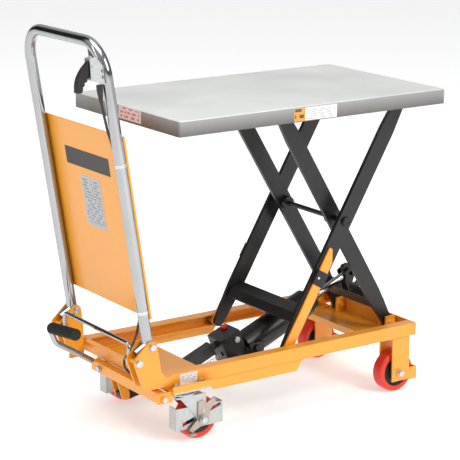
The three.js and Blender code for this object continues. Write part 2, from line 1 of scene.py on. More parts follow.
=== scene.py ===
"""Looks for a mobile scissor lift table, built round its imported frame.

Metres, +Z up, +X from the push handle to the fixed wheels.
"""
import math

import bpy
from mathutils import Matrix, Vector


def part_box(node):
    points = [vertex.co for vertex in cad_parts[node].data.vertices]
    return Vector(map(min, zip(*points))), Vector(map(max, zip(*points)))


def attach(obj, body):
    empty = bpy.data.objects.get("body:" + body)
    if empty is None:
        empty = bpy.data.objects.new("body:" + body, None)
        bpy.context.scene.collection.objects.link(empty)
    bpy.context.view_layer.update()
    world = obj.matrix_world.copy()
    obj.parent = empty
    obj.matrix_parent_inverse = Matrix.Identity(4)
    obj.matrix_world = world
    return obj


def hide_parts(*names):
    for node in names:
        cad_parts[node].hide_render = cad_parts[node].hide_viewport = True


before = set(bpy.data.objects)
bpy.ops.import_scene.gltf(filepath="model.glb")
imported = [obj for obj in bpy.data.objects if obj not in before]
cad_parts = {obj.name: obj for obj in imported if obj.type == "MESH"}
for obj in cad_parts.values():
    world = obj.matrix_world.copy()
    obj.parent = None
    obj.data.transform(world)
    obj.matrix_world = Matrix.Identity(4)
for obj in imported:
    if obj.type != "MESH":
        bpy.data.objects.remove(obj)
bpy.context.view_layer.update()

# ---- Camera -----------------------------------------------------------------
# A long lens stands off the pedal corner, a little above the chassis, so that
# the handle, the raised top, the crossed arms and the hydraulic unit all show.
VIEW_TURN = math.radians(-34.177)
VIEW_RISE = math.radians(14.231)
VIEW_DISTANCE = 4.2143
view_target = Vector((0.022, 0.0, 0.4228))
view_back = Vector((
    math.sin(VIEW_TURN) * math.cos(VIEW_RISE),
    -math.cos(VIEW_TURN) * math.cos(VIEW_RISE),
    math.sin(VIEW_RISE),
))
lens = bpy.data.cameras.new("camera")
lens.sensor_width = 36.0
lens.lens = 140.4
lens.clip_start = 0.1
lens.clip_end = 100.0
camera = bpy.data.objects.new("camera", lens)
bpy.context.scene.collection.objects.link(camera)
camera.location = view_target + view_back * VIEW_DISTANCE
camera.rotation_mode = "QUATERNION"
camera.rotation_quaternion = (-view_back).to_track_quat("-Z", "Y")
bpy.context.scene.camera = camera
bpy.context.scene.view_settings.view_transform = "Standard"


# ---- Studio -----------------------------------------------------------------
# A pale seamless floor under a white tent. One large soft box stands on the
# near side and one hangs overhead; darker gaps in the tent draw lines in chrome.
class Field:
    """A value on a socket of a node tree. Arithmetic on it adds the Math nodes."""

    def __init__(self, tree, socket=None):
        self.tree = tree
        self.socket = socket

    def node(self, kind, settings=None, inputs=None, out=0):
        """Any other node: its type, its settings, then the values or links of its sockets."""
        made = self.tree.nodes.new("ShaderNode" + kind)
        for key, value in (settings or {}).items():
            if key == "stops":
                stops = made.color_ramp.elements
                stops[0].position, stops[1].position = value[0][0], value[-1][0]
                stops[0].color, stops[1].color = (*value[0][1], 1), (*value[-1][1], 1)
                for place, tone in value[1:-1]:
                    stops.new(place).color = (*tone, 1)
            else:
                setattr(made, key, value)
        for key, value in (inputs or {}).items():
            if isinstance(value, Field):
                self.tree.links.new(value.socket, made.inputs[key])
            else:
                made.inputs[key].default_value = value
        return Field(self.tree, made.outputs[out])

    def maths(self, operation, a, b):
        return self.node("Math", {"operation": operation}, {0: a, 1: b})

    def __add__(self, other):
        return self.maths("ADD", self, other)

    def __radd__(self, other):
        return self.maths("ADD", other, self)

    def __rsub__(self, other):
        return self.maths("SUBTRACT", other, self)

    def __mul__(self, other):
        return self.maths("MULTIPLY", self, other)

    def __gt__(self, other):
        return self.maths("GREATER_THAN", self, other)

    def into(self, node, name):
        self.tree.links.new(self.socket, node.inputs[name])


def new_finish(name, **constants):
    """A material, a field to build its nodes from, and its shader with these constants set."""
    material = bpy.data.materials.new(name)
    material.use_nodes = True
    shader = material.node_tree.nodes["Principled BSDF"]
    for key, value in constants.items():
        shader.inputs[key.replace("_", " ")].default_value = value
    return material, Field(material.node_tree), shader


def blend_colours(mask, low, high):
    return mask.node("Mix", {"data_type": "RGBA"}, {0: mask, 6: (*low, 1), 7: (*high, 1)}, 2)


def noise(field, scale, detail=2.0, stretch=None):
    """Cloudy noise in the piece's own metres, drawn out along an axis when stretch is given."""
    place = field.node("TexCoord", out="Object")
    if stretch:
        place = field.node("Mapping", {}, {"Vector": place, "Scale": stretch})
    return field.node("TexNoise", {}, {"Vector": place, "Scale": scale, "Detail": detail})


def bumped(shader, height, strength, distance):
    made = height.node("Bump", {}, {"Strength": strength, "Distance": distance, "Height": height})
    made.into(shader, "Normal")


floor_finish, field, shader = new_finish("pale_floor", Roughness=0.9, Emission_Color=(1, 1, 1, 1),
                                         Emission_Strength=0.42)
speckle = noise(field, 3.0)
blend_colours(speckle, (0.93, 0.93, 0.93), (0.95, 0.95, 0.95)).into(shader, "Base Color")
bpy.ops.object.select_all(action="DESELECT")
bpy.ops.mesh.primitive_plane_add(size=60.0, location=(0, 0, -0.0005))
floor = bpy.context.object
floor.name = "floor"
floor.data.materials.append(floor_finish)


def soft_box(name, turn, rise, distance, size, power):
    light = bpy.data.lights.new(name, "AREA")
    light.shape = "RECTANGLE"
    light.size, light.size_y = size
    light.energy = power
    lamp = bpy.data.objects.new(name, light)
    bpy.context.scene.collection.objects.link(lamp)
    a, e = math.radians(turn), math.radians(rise)
    back = Vector((math.sin(a) * math.cos(e), -math.cos(a) * math.cos(e), math.sin(e)))
    lamp.location = Vector((0, 0, 0.4)) + back * distance
    lamp.rotation_mode = "QUATERNION"
    lamp.rotation_quaternion = (-back).to_track_quat("-Z", "Y")


soft_box("near_side_box", 18, 32, 5.0, (1.3, 2.6), 120)
soft_box("overhead_box", -60, 78, 4.6, (4.5, 3.5), 120)
soft_box("end_box", -105, 22, 5.5, (0.5, 3.0), 26)

world = bpy.data.worlds.new("tent")
bpy.context.scene.world = world
world.use_nodes = True
tent = Field(world.node_tree)
direction = tent.node("TexCoord", out="Generated")
split = tent.node("SeparateXYZ", {}, {0: direction})
height = Field(tent.tree, split.socket.node.outputs["Z"])
across = Field(tent.tree, split.socket.node.outputs["X"])
along = Field(tent.tree, split.socket.node.outputs["Y"])
turn = tent.node("Math", {"operation": "ARCTAN2"}, {0: along, 1: across}) * (1 / math.tau) + 0.5
gaps = tent.node("ValToRGB", {"stops": [
    (0.0, (0.55, 0.55, 0.56)), (0.09, (0.8, 0.8, 0.8)), (0.115, (0.05, 0.05, 0.05)),
    (0.15, (0.5, 0.5, 0.51)), (0.25, (0.62, 0.62, 0.63)), (0.29, (0.08, 0.08, 0.08)),
    (0.335, (0.04, 0.04, 0.04)), (0.36, (0.7, 0.7, 0.7)), (0.47, (0.5, 0.5, 0.5)),
    (0.49, (0.06, 0.06, 0.06)), (0.53, (0.05, 0.05, 0.05)), (0.56, (0.75, 0.75, 0.75)),
    (0.74, (0.6, 0.6, 0.6)), (0.78, (0.03, 0.03, 0.03)), (0.85, (0.05, 0.05, 0.05)),
    (0.88, (0.7, 0.7, 0.7)), (1.0, (0.55, 0.55, 0.56)),
]}, {0: turn})
lift = tent.node("ValToRGB", {"stops": [
    (0.0, (0.8, 0.8, 0.8)), (0.45, (0.75, 0.75, 0.75)), (0.55, (0.35, 0.35, 0.36)),
    (0.62, (0.9, 0.9, 0.9)), (1.0, (1.1, 1.1, 1.1)),
]}, {0: height * 0.5 + 0.5})
walls = tent.node("Mix", {"data_type": "RGBA", "blend_type": "MULTIPLY"}, {0: 1.0, 6: gaps, 7: lift}, 2)
background = world.node_tree.nodes["Background"]
walls.into(background, "Color")
background.inputs["Strength"].default_value = 0.95


# ---- Chassis ----------------------------------------------------------------
# Two channel rails, end members, deck plate and ledges, folded and punched from
# 3 to 5 mm steel plate, welded into one frame and powder coated orange.
def activate(piece):
    if bpy.context.object and bpy.context.object.mode != "OBJECT":
        bpy.ops.object.mode_set(mode="OBJECT")
    bpy.ops.object.select_all(action="DESELECT")
    piece.select_set(True)
    bpy.context.view_layer.objects.active = piece


def settle(piece, name, finish, body, slot, *nodes, angle=32):
    """Bakes a piece's place into its mesh, gives it its finish, and rides it on its body."""
    activate(piece)
    bpy.ops.object.transform_apply(location=True, rotation=True, scale=True)
    if angle:
        bpy.ops.object.shade_smooth_by_angle(angle=math.radians(angle))
    piece.name = piece.data.name = name
    if finish:
        piece.data.materials.clear()
        piece.data.materials.append(finish)
    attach(piece, body)
    if nodes:
        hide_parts(*nodes)
    return piece


def rounded(node, width, steps=2):
    """A merged copy of a frame part with its sharp edges rounded off."""
    piece = bpy.data.objects.new(node + "_form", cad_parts[node].data.copy())
    bpy.context.scene.collection.objects.link(piece)
    activate(piece)
    bpy.ops.object.mode_set(mode="EDIT")
    bpy.ops.mesh.select_all(action="SELECT")
    bpy.ops.mesh.remove_doubles(threshold=0.00001)
    bpy.ops.mesh.dissolve_limited(angle_limit=math.radians(0.7))
    bpy.ops.object.mode_set(mode="OBJECT")
    bpy.ops.mesh.customdata_custom_splitnormals_clear()
    bpy.ops.object.shade_smooth()
    edge = piece.modifiers.new("edge", "BEVEL")
    edge.width = width
    edge.segments = steps
    edge.limit_method = "ANGLE"
    edge.angle_limit = math.radians(33)
    edge.harden_normals = True
    bpy.ops.object.modifier_apply(modifier="edge")
    return piece


def painted(name, low, high, rough, coat, orange_peel):
    """Powder coat: two close tones in clouds, a fine orange peel, and duller handled patches."""
    material, field, shader = new_finish(
        name, Metallic=0.0, Coat_Weight=coat, Coat_Roughness=0.12, Specular_IOR_Level=0.5)
    cloud = noise(field, 7.0, 4.0)
    dust = noise(field, 38.0, 6.0)
    patches = field.node("ValToRGB", {"stops": [(0.46, (0, 0, 0)), (0.74, (1, 1, 1))]}, {0: dust})
    blend_colours(cloud * 0.7 + patches * 0.3, low, high).into(shader, "Base Color")
    (rough + cloud * 0.06 + patches * 0.12).into(shader, "Roughness")
    peel = noise(field, 900.0, 1.0) * 0.6 + noise(field, 260.0, 2.0) * 0.4
    bumped(shader, peel, orange_peel, 0.00015)
    return material


orange = painted("orange_powder_coat", (0.86, 0.33, 0.018), (0.93, 0.39, 0.026), 0.27, 0.35, 0.25)
EDGE = 0.0009
for side in ("near", "far"):
    settle(rounded("rail_" + side, EDGE), "frame_rail_" + side, orange, "chassis", "orange_paint",
           "rail_" + side, angle=0)
    settle(rounded("caster_ledge_" + side, EDGE), "ledge_" + side, orange, "chassis", "orange_paint",
           "caster_ledge_" + side, angle=0)
for node, name in (("handle_end_member", "end_member"), ("deck_plate", "deck"),
                   ("far_cross_channel", "cross_channel"), ("far_end_member", "front_member")):
    settle(rounded(node, EDGE), name, orange, "chassis", "orange_paint", node, angle=0)


# ---- Frame bolts ------------------------------------------------------------
# Zinc plated hex bolts on plain washers. They hold the caster plates, the handle
# pivots and the pedal bar, and stand a few millimetres off the painted plates.
def plated(name, low, high, rough, scratch):
    """Zinc plate: mottled crystals, fine scratches, and a cloudy passivated film."""
    material, field, shader = new_finish(name, Metallic=1.0)
    crystals = field.node("TexVoronoi", {"feature": "F1"},
                          {"Vector": field.node("TexCoord", out="Object"), "Scale": 260.0}, "Color")
    crystals = field.node("SeparateColor", {}, {0: crystals})
    film = noise(field, 24.0, 5.0)
    blend_colours(film * 0.65 + crystals * 0.35, low, high).into(shader, "Base Color")
    lines = noise(field, 90.0, 3.0, (1.0, 1.0, 14.0))
    (rough + film * 0.16 + lines * 0.08).into(shader, "Roughness")
    bumped(shader, lines * 0.7 + crystals * 0.3, scratch, 0.0001)
    return material


bolt_zinc = plated("bolt_zinc", (0.52, 0.54, 0.55), (0.70, 0.71, 0.71), 0.22, 0.2)
at_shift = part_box("table_pan")[0].x + 0.357


def at(x, y, z):
    """A place on the machine in millimetres, from the chassis makers' zero, as metres in this frame."""
    return Vector((x / 1000 + at_shift, y / 1000, z / 1000))


def drum(centre, axis, radius, depth, sides=48):
    """A plain cylinder, turned to an axis, with its place in its mesh."""
    bpy.ops.object.select_all(action="DESELECT")
    bpy.ops.mesh.primitive_cylinder_add(
        vertices=sides, radius=radius, depth=depth, location=centre,
        rotation=Vector(axis).to_track_quat("Z", "Y").to_euler())
    piece = bpy.context.object
    bpy.ops.object.transform_apply(location=True, rotation=True, scale=True)
    return piece


def pick_faces(piece, test):
    """Opens a piece in edit mode with the faces selected whose centre and normal pass a test."""
    activate(piece)
    bpy.ops.object.mode_set(mode="EDIT")
    bpy.ops.mesh.select_mode(type="FACE")
    bpy.ops.mesh.select_all(action="DESELECT")
    bpy.ops.object.mode_set(mode="OBJECT")
    for face in piece.data.polygons:
        face.select = bool(test(face.center, face.normal))
    bpy.ops.object.mode_set(mode="EDIT")


def pick_edges(piece, test):
    """The same for edges, whose test takes both ends."""
    activate(piece)
    bpy.ops.object.mode_set(mode="EDIT")
    bpy.ops.mesh.select_mode(type="EDGE")
    bpy.ops.mesh.select_all(action="DESELECT")
    bpy.ops.object.mode_set(mode="OBJECT")
    points = piece.data.vertices
    for edge in piece.data.edges:
        edge.select = bool(test(*(points[v].co for v in edge.vertices)))
    bpy.ops.object.mode_set(mode="EDIT")


def push(vector):
    bpy.ops.mesh.extrude_region_move(TRANSFORM_OT_translate={"value": tuple(vector)})


def join(name, pieces):
    bpy.context.view_layer.update()
    activate(pieces[0])
    for piece in pieces[1:]:
        piece.select_set(True)
    if len(pieces) > 1:
        bpy.ops.object.join()
    bpy.context.object.name = name
    return bpy.context.object


def master_bolt():
    """One M10 bolt head on its washer, standing on z = 0, which every other bolt copies."""
    head = drum((0, 0, 0.0048), (0, 0, 1), 0.0087, 0.0062, 6)
    pick_faces(head, lambda c, n: n.z > 0.9)
    bpy.ops.mesh.inset(thickness=0.0010)
    bpy.ops.transform.translate(value=(0, 0, 0.0005))
    bpy.ops.mesh.inset(thickness=0.0022)
    push((0, 0, -0.0004))
    bpy.ops.object.mode_set(mode="OBJECT")
    washer = drum((0, 0, 0.0008), (0, 0, 1), 0.0098, 0.0016, 32)
    pick_edges(washer, lambda a, b: a.z > 0.001 and b.z > 0.001)
    bpy.ops.mesh.bevel(offset=0.0004, segments=2)
    bpy.ops.object.mode_set(mode="OBJECT")
    return join("master_bolt", [head, washer])


pattern = master_bolt()
bolt_pattern = pattern.data.copy()
bpy.data.objects.remove(pattern)


def bolts(name, body, axis, size, places, finish=bolt_zinc, slot="steel"):
    """Copies of the bolt at these places, all pointing along an axis, as one piece."""
    turn = Vector(axis).to_track_quat("Z", "Y").to_matrix().to_4x4()
    made = []
    for n, place in enumerate(places):
        copy = bpy.data.objects.new(name + str(n), bolt_pattern.copy())
        bpy.context.scene.collection.objects.link(copy)
        spin = Matrix.Rotation(0.4 + 0.9 * n, 4, "Z")
        copy.data.transform(Matrix.Translation(place) @ turn @ Matrix.Scale(size, 4) @ spin)
        made.append(copy)
    return settle(join(name, made), name, finish, body, slot)


for side, out in (("near", -1), ("far", 1)):
    bolts(f"ledge_bolts_{side}", "chassis", (0, 0, 1), 0.82,
          [at(-345, out * 193, 143.6), at(-280, out * 193, 143.6)])
    bolts(f"bracket_bolts_{side}", "chassis", (0, out, 0), 0.95,
          [at(-407, out * 186.6, 245), at(-442, out * 186.6, 214)])
    bolts(f"bracket_inner_bolts_{side}", "chassis", (0, -out, 0), 0.8, [at(-407, out * 149.4, 245)])
bolts("pedal_bar_bolts", "treadle", (-1, 0, 0), 0.85, [at(-396.4, 64, 123.5)])
bolts("pedal_bar_end_bolt", "treadle", (0, -1, 0), 0.8, [at(-386, -200.6, 124)])


# ---- Handle brackets and pivots ---------------------------------------------
# Each handle foot stands between two laser cut cheeks of 5 mm plate, painted with
# the chassis, with the pivot bolt at the top and the bail bolt behind it.
for side, out in (("near", -1), ("far", 1)):
    settle(rounded("handle_bracket_" + side, 0.0010), "foot_bracket_" + side, orange, "chassis",
           "orange_paint", "handle_bracket_" + side, angle=0)
    settle(rounded("arm_clevis_" + side, 0.0008), "fixed_clevis_" + side, orange, "chassis",
           "orange_paint", "arm_clevis_" + side, angle=0)
    settle(rounded("wheel_fork_" + side, 0.0010), "front_fork_" + side, orange, "chassis",
           "orange_paint", "wheel_fork_" + side, angle=0)
    bolts(f"front_axle_bolts_{side}", "chassis", (0, out, 0), 0.95, [at(300, out * 185.2, 50)])
    bolts(f"clevis_bolts_{side}", "chassis", (0, out, 0), 0.9, [at(326, out * 117.4, 153.5)],
          orange, "orange_paint")


# ---- Front wheels and caster wheels -----------------------------------------
# A red polyurethane tread is cast round a black nylon core. The core carries a
# pressed ball bearing with a steel seal, and turns on a fixed axle bolt.
tread_red, field, shader = new_finish("cast_red_tread", Specular_IOR_Level=0.45)
skin = noise(field, 45.0, 5.0)
scuffs = field.node("ValToRGB", {"stops": [(0.52, (0, 0, 0)), (0.72, (1, 1, 1))]},
                    {0: noise(field, 150.0, 5.0)})
blend_colours(skin, (0.66, 0.030, 0.016), (0.80, 0.052, 0.028)).into(shader, "Base Color")
(0.30 + skin * 0.14 + scuffs * 0.18).into(shader, "Roughness")
bumped(shader, skin * 0.5 + scuffs * 0.5, 0.2, 0.0002)

core_black, field, shader = new_finish("moulded_nylon_core", Specular_IOR_Level=0.4)
spark = noise(field, 600.0, 2.0)
blend_colours(noise(field, 30.0, 3.0), (0.012, 0.012, 0.013), (0.028, 0.028, 0.029)).into(
    shader, "Base Color")
(0.42 + spark * 0.2).into(shader, "Roughness")
bumped(shader, spark, 0.25, 0.0001)

bearing_steel = plated("bearing_steel", (0.38, 0.39, 0.40), (0.55, 0.56, 0.57), 0.28, 0.1)


def wheel(name, body, centre, tyre_node, hub_node):
    """Tread, core and bearing, turned about the wheel's own axle, which lies along Y."""
    def ring(c):
        return math.hypot(c.x - centre.x, c.z - centre.z)

    tread = drum(centre, (0, 1, 0), 0.0500, 0.0320, 96)
    pick_faces(tread, lambda c, n: abs(n.y) > 0.9)
    bpy.ops.mesh.inset(thickness=0.0138)
    bpy.ops.mesh.bridge_edge_loops()
    bpy.ops.object.mode_set(mode="OBJECT")
    pick_edges(tread, lambda a, b: ring(a) > 0.049 and ring(b) > 0.049 and abs(a.y - b.y) < 1e-5)
    bpy.ops.mesh.bevel(offset=0.0050, segments=5)
    bpy.ops.object.mode_set(mode="OBJECT")
    pick_edges(tread, lambda a, b: ring(a) < 0.037 and ring(b) < 0.037 and abs(a.y - b.y) < 1e-5)
    bpy.ops.mesh.bevel(offset=0.0008, segments=2)
    settle(tread, name + "_tread", tread_red, body, "tyre_red", tyre_node)

    core = drum(centre, (0, 1, 0), 0.0359, 0.0290, 96)
    for face_side in (-1, 1):
        for thickness, depth in ((0.0040, -0.0030), (0.0105, 0.0), (0.0012, 0.0065)):
            pick_faces(core, lambda c, n: n.y * face_side > 0.9 and ring(c) < 0.001)
            bpy.ops.mesh.inset(thickness=thickness)
            bpy.ops.transform.translate(value=(0, face_side * depth, 0))
            bpy.ops.object.mode_set(mode="OBJECT")
    settle(core, name + "_core", core_black, body, "black_plastic")

    bearing = drum(centre, (0, 1, 0), 0.0168, 0.0362, 64)
    for face_side in (-1, 1):
        for thickness, depth in ((0.0030, 0.0), (0.0006, -0.0012), (0.0040, 0.0), (0.0006, 0.0010)):
            pick_faces(bearing, lambda c, n: n.y * face_side > 0.9 and ring(c) < 0.001)
            bpy.ops.mesh.inset(thickness=thickness)
            bpy.ops.transform.translate(value=(0, face_side * depth, 0))
            bpy.ops.object.mode_set(mode="OBJECT")
    settle(bearing, name + "_bearing", bearing_steel, body, "steel", hub_node)


def middle(node):
    low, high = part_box(node)
    return (low + high) / 2


for side in ("near", "far"):
    wheel("front_wheel_" + side, "fixed_wheel_" + side, middle("fixed_tyre_" + side),
          "fixed_tyre_" + side, "fixed_hub_" + side)
    wheel("caster_wheel_" + side, "caster_wheel_" + side, middle("caster_tyre_" + side),
          "caster_tyre_" + side, "caster_hub_" + side)


# ---- Casters ----------------------------------------------------------------
# Pressed and zinc plated: a top plate with a ball race, the swivelling fork with
# its boxed foot guard, and a plated brake lever that hangs on the axle bolt.
caster_zinc = plated("caster_zinc", (0.42, 0.45, 0.44), (0.62, 0.65, 0.63), 0.30, 0.35)
lever_zinc = plated("brake_lever_zinc", (0.38, 0.34, 0.29), (0.55, 0.50, 0.43), 0.34, 0.3)
for side, out in (("near", -1), ("far", 1)):
    settle(rounded("caster_plate_" + side, 0.0008), "caster_top_" + side, caster_zinc, "chassis",
           "zinc", "caster_plate_" + side, angle=0)
    settle(rounded("caster_fork_" + side, 0.0007), "caster_yoke_" + side, caster_zinc,
           "caster_swivel_" + side, "zinc", "caster_fork_" + side, angle=0)
    settle(rounded("caster_brake_" + side, 0.0007), "brake_lever_" + side, lever_zinc,
           "caster_brake_" + side, "steel", "caster_brake_" + side, angle=0)
    axle = middle("caster_tyre_" + side)
    bolts(f"caster_axle_bolts_{side}", "caster_swivel_" + side, (0, -1, 0), 0.95,
          [Vector((axle.x, axle.y - 0.0326, axle.z))])
    race = drum(at(-312, out * 155, 114.6), (0, 0, 1), 0.0335, 0.0050, 64)
    pick_edges(race, lambda a, b: abs(a.z - b.z) < 1e-6 and (Vector(a) - Vector(b)).length < 0.01)
    bpy.ops.mesh.bevel(offset=0.0016, segments=4)
    settle(race, "ball_race_" + side, caster_zinc, "caster_swivel_" + side, "zinc")
    rivet = drum(axle + Vector((0.0035, -0.0289, 0.0185)), (0, -1, 0), 0.0034, 0.0016, 24)
    pick_faces(rivet, lambda c, n: n.y < -0.9)
    bpy.ops.mesh.bevel(offset=0.0007, segments=3)
    settle(rivet, "brake_rivet_" + side, bolt_zinc, "caster_brake_" + side, "steel")


# ---- Scissor arms -----------------------------------------------------------
# Four flat bars laser cut from 10 mm steel, tapered at both ends, with two cross
# beams welded between them, all sprayed satin black. A steel axle joins the pairs.
black = painted("satin_black_paint", (0.0050, 0.0050, 0.0052), (0.0105, 0.0105, 0.0107), 0.34, 0.06, 0.3)


def tilted(x, z, degrees):
    """Millimetres along and square to a sloping part, from its pivot, to this frame's metres."""
    slope = Matrix.Rotation(-math.radians(degrees), 4, "Y")
    return Matrix.Translation(at(x, 0, z)) @ slope @ Matrix.Scale(0.001, 4)


def ease(piece, width, steps=2):
    """Cleans a new piece's normals and rounds its sharp edges."""
    activate(piece)
    bpy.ops.object.mode_set(mode="EDIT")
    bpy.ops.mesh.select_all(action="SELECT")
    bpy.ops.mesh.normals_make_consistent(inside=False)
    bpy.ops.object.mode_set(mode="OBJECT")
    if width:
        bpy.ops.object.shade_smooth()
        edge = piece.modifiers.new("edge", "BEVEL")
        edge.width = width
        edge.segments = steps
        edge.limit_method = "ANGLE"
        edge.angle_limit = math.radians(33)
        edge.harden_normals = True
        bpy.ops.object.modifier_apply(modifier="edge")
    return piece


def plate(outline, low, high, place, width=0.0008):
    """A plate with its outline in x and z, its faces at two heights in y, and its place applied."""
    bpy.ops.object.select_all(action="DESELECT")
    bpy.ops.mesh.primitive_circle_add(vertices=len(outline), fill_type="NGON")
    piece = bpy.context.object
    for vertex, (x, z) in zip(piece.data.vertices, outline):
        vertex.co = (x, low, z)
    activate(piece)
    bpy.ops.object.mode_set(mode="EDIT")
    bpy.ops.mesh.select_all(action="SELECT")
    push((0, high - low, 0))
    bpy.ops.object.mode_set(mode="OBJECT")
    piece.data.transform(place)
    return ease(piece, width)


def block(low, high, width=0.0006):
    """A rectangular bar between two corners in millimetres."""
    (x0, y0, z0), (x1, y1, z1) = low, high
    return plate([(x0, z0), (x1, z0), (x1, z1), (x0, z1)], y0, y1, tilted(0, 0, 0), width)


ARM_PLACE = tilted(-14.55, 153.5, 59.4)  # foot pivot of the outer arms, and their slope
ARM_MIDDLE = 334.5
ARM_FACE = 150.4
for side, out in (("near", -1), ("far", 1)):
    settle(rounded("inner_arm_" + side, 0.0010), "inner_bar_" + side, black, "inner_arms",
           "black_paint", "inner_arm_" + side, angle=0)
    settle(rounded("outer_arm_" + side, 0.0010), "outer_bar_" + side, black, "outer_arms",
           "black_paint", "outer_arm_" + side, angle=0)
    bolts("upper_arm_bolts_" + side, "table", (0, out, 0), 0.8, [at(326, out * 153.2, 729.3)], black,
          "black_paint")
for node, name, body, width, steps in (
    ("inner_beam", "lift_beam", "inner_arms", 0.0016, 2),
    ("outer_beam", "stay_beam", "outer_arms", 0.0022, 3),
    ("centre_axle", "scissor_axle", "inner_arms", 0.0012, 2),
):
    settle(rounded(node, width, steps), name, black, body, "black_paint", node, angle=0)
for side, out in (("near", -1), ("far", 1)):
    cap = drum(ARM_PLACE @ Vector((ARM_MIDDLE, out * ARM_FACE, 0)), (0, out, 0), 0.0085, 0.0016, 48)
    pick_faces(cap, lambda c, n: n.y * out > 0.9)
    bpy.ops.mesh.inset(thickness=0.0018)
    push((0, -out * 0.0008, 0))
    settle(cap, "axle_end_" + side, black, "inner_arms", "black_paint")
    # A weld bead where each outer arm meets the stay beam.
    bead = drum(ARM_PLACE @ Vector((66, out * 133.6, 13)), (0, 1, 0), 0.0016, 0.0020, 12)
    settle(bead, "beam_weld_" + side, black, "outer_arms", "black_paint")


# ---- Rollers ----------------------------------------------------------------
# Turned and hardened steel rollers, two in the chassis rails and two under the
# table, each with a chamfered rim, left bare and a little oily.
roller_steel = plated("roller_steel", (0.33, 0.33, 0.34), (0.48, 0.48, 0.49), 0.24, 0.08)
for side in ("near", "far"):
    for level in ("lower", "upper"):
        name = f"{level}_roller_{side}"
        centre = middle(name)
        rim = drum(centre, (0, 1, 0), 0.0116, 0.0210, 64)
        pick_edges(rim, lambda a, b: abs(a.y - b.y) < 1e-6)
        bpy.ops.mesh.bevel(offset=0.0010, segments=3)
        settle(rim, f"{level}_race_roller_{side}", roller_steel, name, "steel", name)


# ---- Safety props -----------------------------------------------------------
# A flat maintenance prop lies along the outside of each outer arm. The blade is
# painted like the chassis, and a black plastic clip holds it to the arm.
clip_black, field, shader = new_finish("clip_plastic", Specular_IOR_Level=0.4)
grain = noise(field, 700.0, 2.0)
blend_colours(noise(field, 25.0, 3.0), (0.012, 0.012, 0.013), (0.022, 0.022, 0.023)).into(
    shader, "Base Color")
(0.40 + grain * 0.18).into(shader, "Roughness")
bumped(shader, grain, 0.3, 0.0001)
BLADE = [(-12, -10), (0, -13), (232, -13), (262, 4), (262, 13), (0, 13), (-12, 10)]
CLIP = [(168, -16), (204, -16), (204, 17), (168, 17)]
for side, out in (("near", -1), ("far", 1)):
    low, high = sorted((out * 145.0, out * 150.3))
    blade = plate(BLADE, low, high, ARM_PLACE)
    settle(blade, "prop_blade_" + side, orange, "prop_" + side, "orange_paint", "safety_prop_" + side,
           angle=0)
    low, high = sorted((out * 144.8, out * 153.1))
    clip = plate(CLIP, low, high, ARM_PLACE, 0.0016)
    settle(clip, "prop_clip_" + side, clip_black, "prop_" + side, "black_plastic", angle=0)
    screw = drum(ARM_PLACE @ Vector((186, out * 153.2, 8)), (0, out, 0), 0.0032, 0.0014, 24)
    pick_faces(screw, lambda c, n: n.y * out > 0.9)
    bpy.ops.mesh.bevel(offset=0.0005, segments=2)
    settle(screw, "clip_screw_" + side, bolt_zinc, "prop_" + side, "steel")


# ---- Table ------------------------------------------------------------------
# One 3 mm sheet with its four edges folded down and the corners welded and ground
# round. It is bare galvanised steel, rubbed along its length, over welded races.
# Its colour carries painted light: the top face is painted lighter than the folded skirt, the skirt is
# painted darker towards its foot as painted shade, and lighter patches on the top are a painted sheen.
table_steel, field, shader = new_finish("galvanised_sheet_with_painted_light", Metallic=0.35, Specular_IOR_Level=0.5)
rubbed = noise(field, 60.0, 4.0, (0.6, 14.0, 14.0))
sheen_noise = noise(field, 5.0, 4.0)
sheen = field.node("ValToRGB", {"stops": [(0.35, (0, 0, 0)), (0.7, (1, 1, 1))]}, {0: sheen_noise})
SKIRT_FOOT, SKIRT_TOP, FACE_FROM = 0.712, 0.744, 0.7452
level = field.node("SeparateXYZ", {}, {0: field.node("TexCoord", out="Object")})
level = Field(field.tree, level.socket.node.outputs["Z"])
# Painted shade: the skirt's colour darkens from its top edge down to its foot.
skirt_shade_ramp = level.node("MapRange", {}, {0: level, 1: SKIRT_FOOT, 2: SKIRT_TOP, 3: 0.0, 4: 1.0})
side = blend_colours(skirt_shade_ramp, (0.15, 0.145, 0.135), (0.36, 0.36, 0.355))
# Painted light: the top face takes much lighter tones than the skirt of the same sheet, with painted sheen
# patches over the rubbed grain.
face = blend_colours(rubbed * 0.4 + sheen * 0.6, (0.66, 0.67, 0.65), (0.84, 0.85, 0.83))
side.node("Mix", {"data_type": "RGBA"}, {0: level > FACE_FROM, 6: side, 7: face}, 2).into(
    shader, "Base Color")
(0.40 + rubbed * 0.12 + sheen * 0.08).into(shader, "Roughness")
bumped(shader, rubbed, 0.12, 0.0001)

low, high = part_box("table_pan")
label_room = Vector((0.0003, 0.0003, 0))
low, high = low + label_room, high - label_room
bpy.ops.object.select_all(action="DESELECT")
bpy.ops.mesh.primitive_cube_add(size=1.0)
SKIRT_DEPTH = 0.035
pan = bpy.context.object
for vertex in pan.data.vertices:
    vertex.co = [high[k] if vertex.co[k] > 0 else low[k] for k in range(3)]
    if vertex.co.z < high.z - 0.001:
        vertex.co.z = high.z - SKIRT_DEPTH
pick_faces(pan, lambda c, n: n.z < -0.9)
bpy.ops.mesh.delete(type="FACE")
pick_edges(pan, lambda a, b: abs(a.z - b.z) > 0.02)
bpy.ops.mesh.bevel(offset=0.0050, segments=5)
pick_edges(pan, lambda a, b: a.z > high.z - 1e-5 and b.z > high.z - 1e-5)
bpy.ops.mesh.bevel(offset=0.0032, segments=4)
activate(pan)
sheet = pan.modifiers.new("sheet", "SOLIDIFY")
sheet.thickness = 0.003
sheet.offset = -1.0
bpy.ops.object.modifier_apply(modifier="sheet")
ease(pan, 0)
settle(pan, "table_top", table_steel, "table", "steel", "table_pan")
